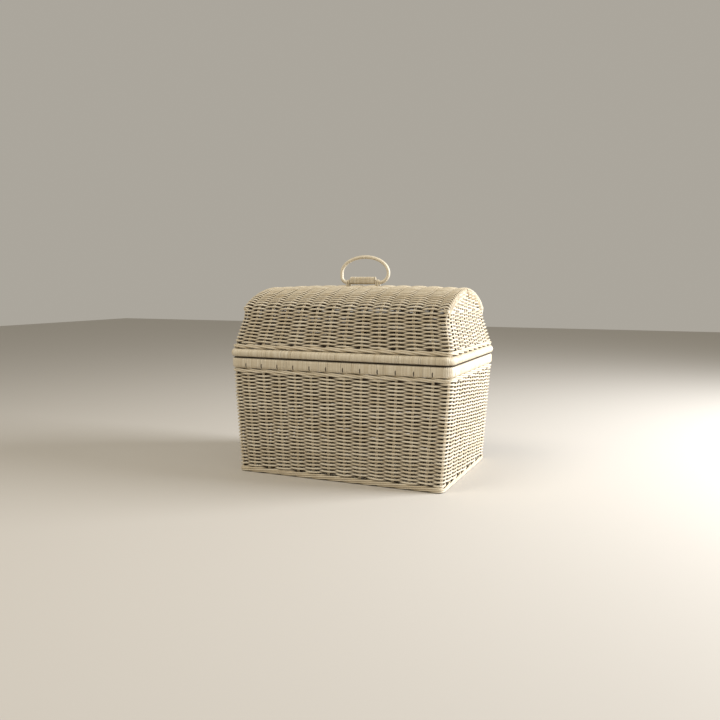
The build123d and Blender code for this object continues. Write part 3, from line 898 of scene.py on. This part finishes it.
lid_rim_radius = (lid_rim_high.z - lid_rim_low.z) / 2
lid_rim_z = (lid_rim_high.z + lid_rim_low.z) / 2
lid_rim_half = np.array([lid_rim_high.x, lid_rim_high.y]) - lid_rim_radius
LID_RIM_CORNER = 0.015
piece = wound("lid_rim_cane", rim_centre(lid_rim_half, LID_RIM_CORNER, lid_rim_z),
              ring_length(lid_rim_half, LID_RIM_CORNER), STRIP_PITCH,
              (lid_rim_radius, lid_rim_radius), lid_rim_radius, 22, groove=-1)
place(piece, "lid", "painted_wrap", "lid_rim_wrap", "lid_rim_core")


# ------------------------------------------------------------------ lashings
def hull_loop(circles, spacing):
    """Closed loop round circles (centre, radius) in the Y-Z plane, evenly spaced points."""
    cloud = []
    for (y, z), radius in circles:
        for angle in np.linspace(0, 2 * math.pi, 72, endpoint=False):
            cloud.append(Vector((y + radius * math.cos(angle), z + radius * math.sin(angle))))
    hull = np.array([cloud[index] for index in convex_hull_2d(cloud)])
    hull = np.concatenate([hull, hull[:1]])
    distance = np.concatenate([[0], np.cumsum(np.linalg.norm(np.diff(hull, axis=0), axis=1))])
    places = np.linspace(0, distance[-1], max(24, round(distance[-1] / spacing)), endpoint=False)
    loop = np.stack([np.interp(places, distance, hull[:, axis]) for axis in (0, 1)], 1)
    tangent = np.roll(loop, -1, 0) - np.roll(loop, 1, 0)
    tangent /= np.linalg.norm(tangent, axis=1)[:, None]
    normal = np.stack([tangent[:, 1], -tangent[:, 0]], 1)
    middle = loop.mean(0)
    normal *= np.sign(np.sum(normal * (loop - middle), 1))[:, None]
    return loop, normal


HINGE_GAP = 0.00035
STRIP_THICK = 0.0008          # half the thickness of a lashing strip
HINGE_STRIPS = 6
rim_inner_y = base_rim_half[1] - RIM_THICK / 2 + RIM_ROUNDING
rim_outer_y = base_rim_half[1] + RIM_THICK / 2 - RIM_ROUNDING
for name in hinge_names:
    low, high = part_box(name)
    width = (high.x - low.x) / HINGE_STRIPS
    strands = Strands(sides=10)
    circles = [((hinge_axis.y, hinge_axis.z), lid_rim_radius + HINGE_GAP + STRIP_THICK)]
    for corner_y in (rim_inner_y, rim_outer_y):
        for corner_z in (rim_low.z + RIM_ROUNDING, rim_high.z - RIM_ROUNDING):
            circles.append(((corner_y, corner_z), RIM_ROUNDING + STRIP_THICK))
    loop, normal = hull_loop(circles, 0.0025)
    for strip in range(HINGE_STRIPS):
        x = low.x + width * (strip + 0.5)
        strands.add(at_x(x, loop), at_x(0, normal), width / 2, closed=True,
                    flat=STRIP_THICK / (width / 2), recess=0.12)
    # two crossing strips on top hold the turns together
    share = np.linspace(-1, 1, len(loop) // 2)
    back = np.argmax(loop[:, 0])
    rows = (back + np.arange(len(share)) - len(share) // 2) % len(loop)
    for slant in (-1, 1):
        x = (low.x + high.x) / 2 + slant * share * (high.x - low.x) * 0.42
        path = at_x(x, loop[rows] + normal[rows] * STRIP_THICK * 0.9)
        strands.add(path, at_x(0, normal[rows]), width * 0.42, flat=0.3, recess=0.05)
    place(strands.mesh_object(f"{name}_cane", wrap_paint), "base", "painted_wrap", name)


# ------------------------------------------------------------------ handle
hoop_low, hoop_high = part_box("handle_hoop")
ROD = handle_axis.z - hoop_low.z
HOOP_CORNERS = (0.014, 0.0224)      # left and right
spring_z = handle_axis.z + max(HOOP_CORNERS)
hoop_left, hoop_right, hoop_top = hoop_low.x + ROD, hoop_high.x - ROD, hoop_high.z - ROD


def hoop_path():
    """Centre line of the hoop in the X-Z plane, one closed line."""
    left_radius, right_radius = HOOP_CORNERS
    quarter = np.linspace(0, math.pi / 2, 14)
    right = np.stack([hoop_right - right_radius + right_radius * np.sin(quarter),
                      handle_axis.z + right_radius - right_radius * np.cos(quarter)], 1)
    crown_angle = np.linspace(0, math.pi, 64)
    crown = np.stack([(hoop_left + hoop_right) / 2 + (hoop_right - hoop_left) / 2 * np.cos(crown_angle),
                      spring_z + (hoop_top - spring_z) * np.sin(crown_angle)], 1)
    left = np.stack([hoop_left + left_radius - left_radius * np.sin(quarter),
                     handle_axis.z + left_radius - left_radius * np.cos(quarter)], 1)[::-1]
    bottom_x = np.linspace(hoop_left + left_radius, hoop_right - right_radius, 20)[1:-1]
    bottom = np.stack([bottom_x, np.full(len(bottom_x), handle_axis.z)], 1)
    line = np.concatenate([right, crown[1:], left, bottom])
    return np.column_stack([line[:, 0], np.zeros(len(line)), line[:, 1]])


strands = Strands(sides=16)
strands.add(hoop_path(), (0, -1, 0), ROD, closed=True, tone=0.75, recess=0.18)
place(strands.mesh_object("handle_hoop_rod", rod_paint), "handle", "painted_rod", "handle_hoop")

sleeve_low, sleeve_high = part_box("handle_sleeve")
sleeve_half = ((sleeve_high.y - sleeve_low.y) / 2, (sleeve_high.z - sleeve_low.z) / 2)
sleeve_z = (sleeve_low.z + sleeve_high.z) / 2


def sleeve_centre(distance):
    count = len(distance)
    x = np.clip(sleeve_low.x + distance, sleeve_low.x, sleeve_high.x)
    return (np.column_stack([x, np.zeros(count), np.full(count, sleeve_z)]),
            np.tile((0.0, -1.0, 0.0), (count, 1)))


piece = wound("handle_sleeve_cane", sleeve_centre, sleeve_high.x - sleeve_low.x, SLEEVE_PITCH,
              sleeve_half, sleeve_half[0] * 0.999, 32, closed=False, gap_share=0.1)
place(piece, "handle", "painted_wrap", "handle_sleeve", "handle_splice")

LOOP_GAP = 0.0004
LOOP_STRIP = 0.0019           # half the width of a strip
LOOP_THICK = 0.0006
LOOP_LIFT = 0.0011            # the crossing strips lie on top of the upright ones
bottom_z = top_high.z - 2 * HALF_WALL + ROD
for name in ("left_handle_lashing", "right_handle_lashing"):
    low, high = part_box(name)
    middle = (low.x + high.x) / 2
    half_width = (high.x - low.x) / 2
    strands = Strands(sides=10)
    turns = ((-0.55, -0.55, 0.0), (0.55, 0.55, 0.0), (-0.62, 0.62, LOOP_LIFT), (0.62, -0.62, LOOP_LIFT))
    for front_x, back_x, lift in turns:
        radius = ROD + LOOP_GAP + LOOP_THICK + lift
        loop, normal = hull_loop([((0, handle_axis.z), radius), ((0, bottom_z), radius)], 0.0012)
        share = 0.5 + 0.5 * np.clip(loop[:, 0] / radius, -1, 1)
        x = middle + mix(front_x, back_x, share) * half_width
        strands.add(at_x(x, loop), at_x(0, normal), LOOP_STRIP, closed=True, flat=0.34, recess=0.08)
    place(strands.mesh_object(f"{name}_cane", wrap_paint), "lid", "painted_wrap", name)

# crossed lashings where the lid's ends, walls and top meet
CORNER_STRIP = 0.0015
CORNER_STRIP_PITCH = 0.0030
CORNER_STRIP_SLANT = 0.0040
strands = Strands()
kink_half = lid_level(lid_kink)[1]
reach = EDGE_TURN + 0.0008
angle = np.linspace(-0.75, 0.75, 13) * math.pi + math.pi * 0.25
for side in (-1, 1):
    for face in (-1, 1):
        centre = np.array([side * LID_END_X, face * kink_half[1], KINK_HEIGHT + 0.003])
        for slant in (-1, 0, 1):
            climb = slant * CORNER_STRIP_SLANT * np.linspace(-1, 1, 13) + CORNER_STRIP_PITCH * slant
            path = np.column_stack([centre[0] + side * reach * np.cos(angle),
                                    centre[1] + face * reach * np.sin(angle), centre[2] + climb])
            outward = np.column_stack([side * np.cos(angle), face * np.sin(angle), 0 * angle])
            strands.add(path, outward, CORNER_STRIP, flat=0.7, recess=0.15)
place(strands.mesh_object("corner_lashings", wrap_paint), "lid", "painted_wicker")


# ------------------------------------------------------------------ floor of the trunk
floor_low, floor_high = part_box("floor_weave")
floor_z = (floor_low.z + floor_high.z) / 2
strands = Strands()
stick_y = np.arange(-END_STEPS, END_STEPS + 1) * STAKE_PITCH
floor_span = floor_high.x - floor_low.x - 2 * STRAND
strand_count = round(floor_span / ROW_PITCH)
floor_swing = (floor_high.z - floor_low.z) / 2 - STRAND
marks = np.concatenate([[floor_low.y + STRAND], stick_y, [floor_high.y - STRAND]])
ease = (1 - np.cos(math.pi * SHARE)) / 2
y = np.append(between(marks, SHARE), marks[-1])
for number in range(strand_count):
    x = floor_low.x + STRAND + number * floor_span / (strand_count - 1)
    signs = np.array([(-1.0) ** (index + number) for index in range(len(marks))])
    wave = np.append(between(signs, ease), signs[-1])
    path = np.column_stack([np.full(len(y), x), y, floor_z + wave * floor_swing])
    # painted shade where a strand dips under the sticks
    strands.add(path, (0, 0, 1), STRAND, recess=0.3 * (1 - wave))
place(strands.mesh_object("floor_strands", weave_paint), "base", "painted_wicker", "floor_weave")

strands = Strands(sides=10)
sticks_low, sticks_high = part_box("floor_sticks")
x = np.linspace(sticks_low.x + 0.001, sticks_high.x - 0.001, 12)
for y in stick_y:
    path = np.column_stack([x, np.full(12, y), np.full(12, floor_z)])
    strands.add(path, (0, 0, 1), FLOOR_STICK, recess=0.3)
place(strands.mesh_object("floor_stick_rods", rod_paint), "base", "painted_rod", "floor_sticks")


# ------------------------------------------------------------------ studio
def area_light(name, position, target, size, watts, colour):
    data = bpy.data.lights.new(name, "AREA")
    data.shape = "RECTANGLE"
    data.size, data.size_y = size
    data.energy = watts
    data.color = colour
    light = add_object(name, data)
    light.location = position
    light.rotation_euler = (Vector(target) - Vector(position)).to_track_quat("-Z", "Y").to_euler()


area_light("window_light", (2.3, 0.75, 1.15), (0.1, 0, 0.25), (1.3, 1.5), 126, (0.94, 0.955, 1.0))
area_light("top_fill", (-0.5, -1.1, 2.3), (0, 0, 0.3), (0.9, 0.9), 23, (1.0, 0.93, 0.82))

world = bpy.data.worlds.new("studio")
bpy.context.scene.world = world
world.use_nodes = True
room = world.node_tree.nodes["Background"]
room.inputs["Color"].default_value = (0.93, 0.87, 0.76, 1.0)
room.inputs["Strength"].default_value = 0.44

floor_mesh = bpy.data.meshes.new("studio_floor")
floor_mesh.from_pydata([(-6, -6, 0), (6, -6, 0), (6, 6, 0), (-6, 6, 0)], [], [(0, 1, 2, 3)])
floor = add_object("studio_floor", floor_mesh)
floor_material = bpy.data.materials.new("studio_floor")
floor_material.use_nodes = True
floor_shader = floor_material.node_tree.nodes["Principled BSDF"]
floor_shader.inputs["Base Color"].default_value = (0.56, 0.53, 0.48, 1.0)
floor_shader.inputs["Roughness"].default_value = 0.85
floor_mesh.materials.append(floor_material)

camera_data = bpy.data.cameras.new("camera")
camera_data.sensor_width = 36.0
camera_data.lens = 36.6
camera_data.clip_start, camera_data.clip_end = 0.05, 50.0
camera = add_object("camera", camera_data)
camera.location = (0.714, -1.682, 0.458)
camera.rotation_euler = (math.radians(90 - 5.97), 0.0, math.radians(23.45))
bpy.context.scene.camera = camera
bpy.context.scene.view_settings.view_transform = "Standard"
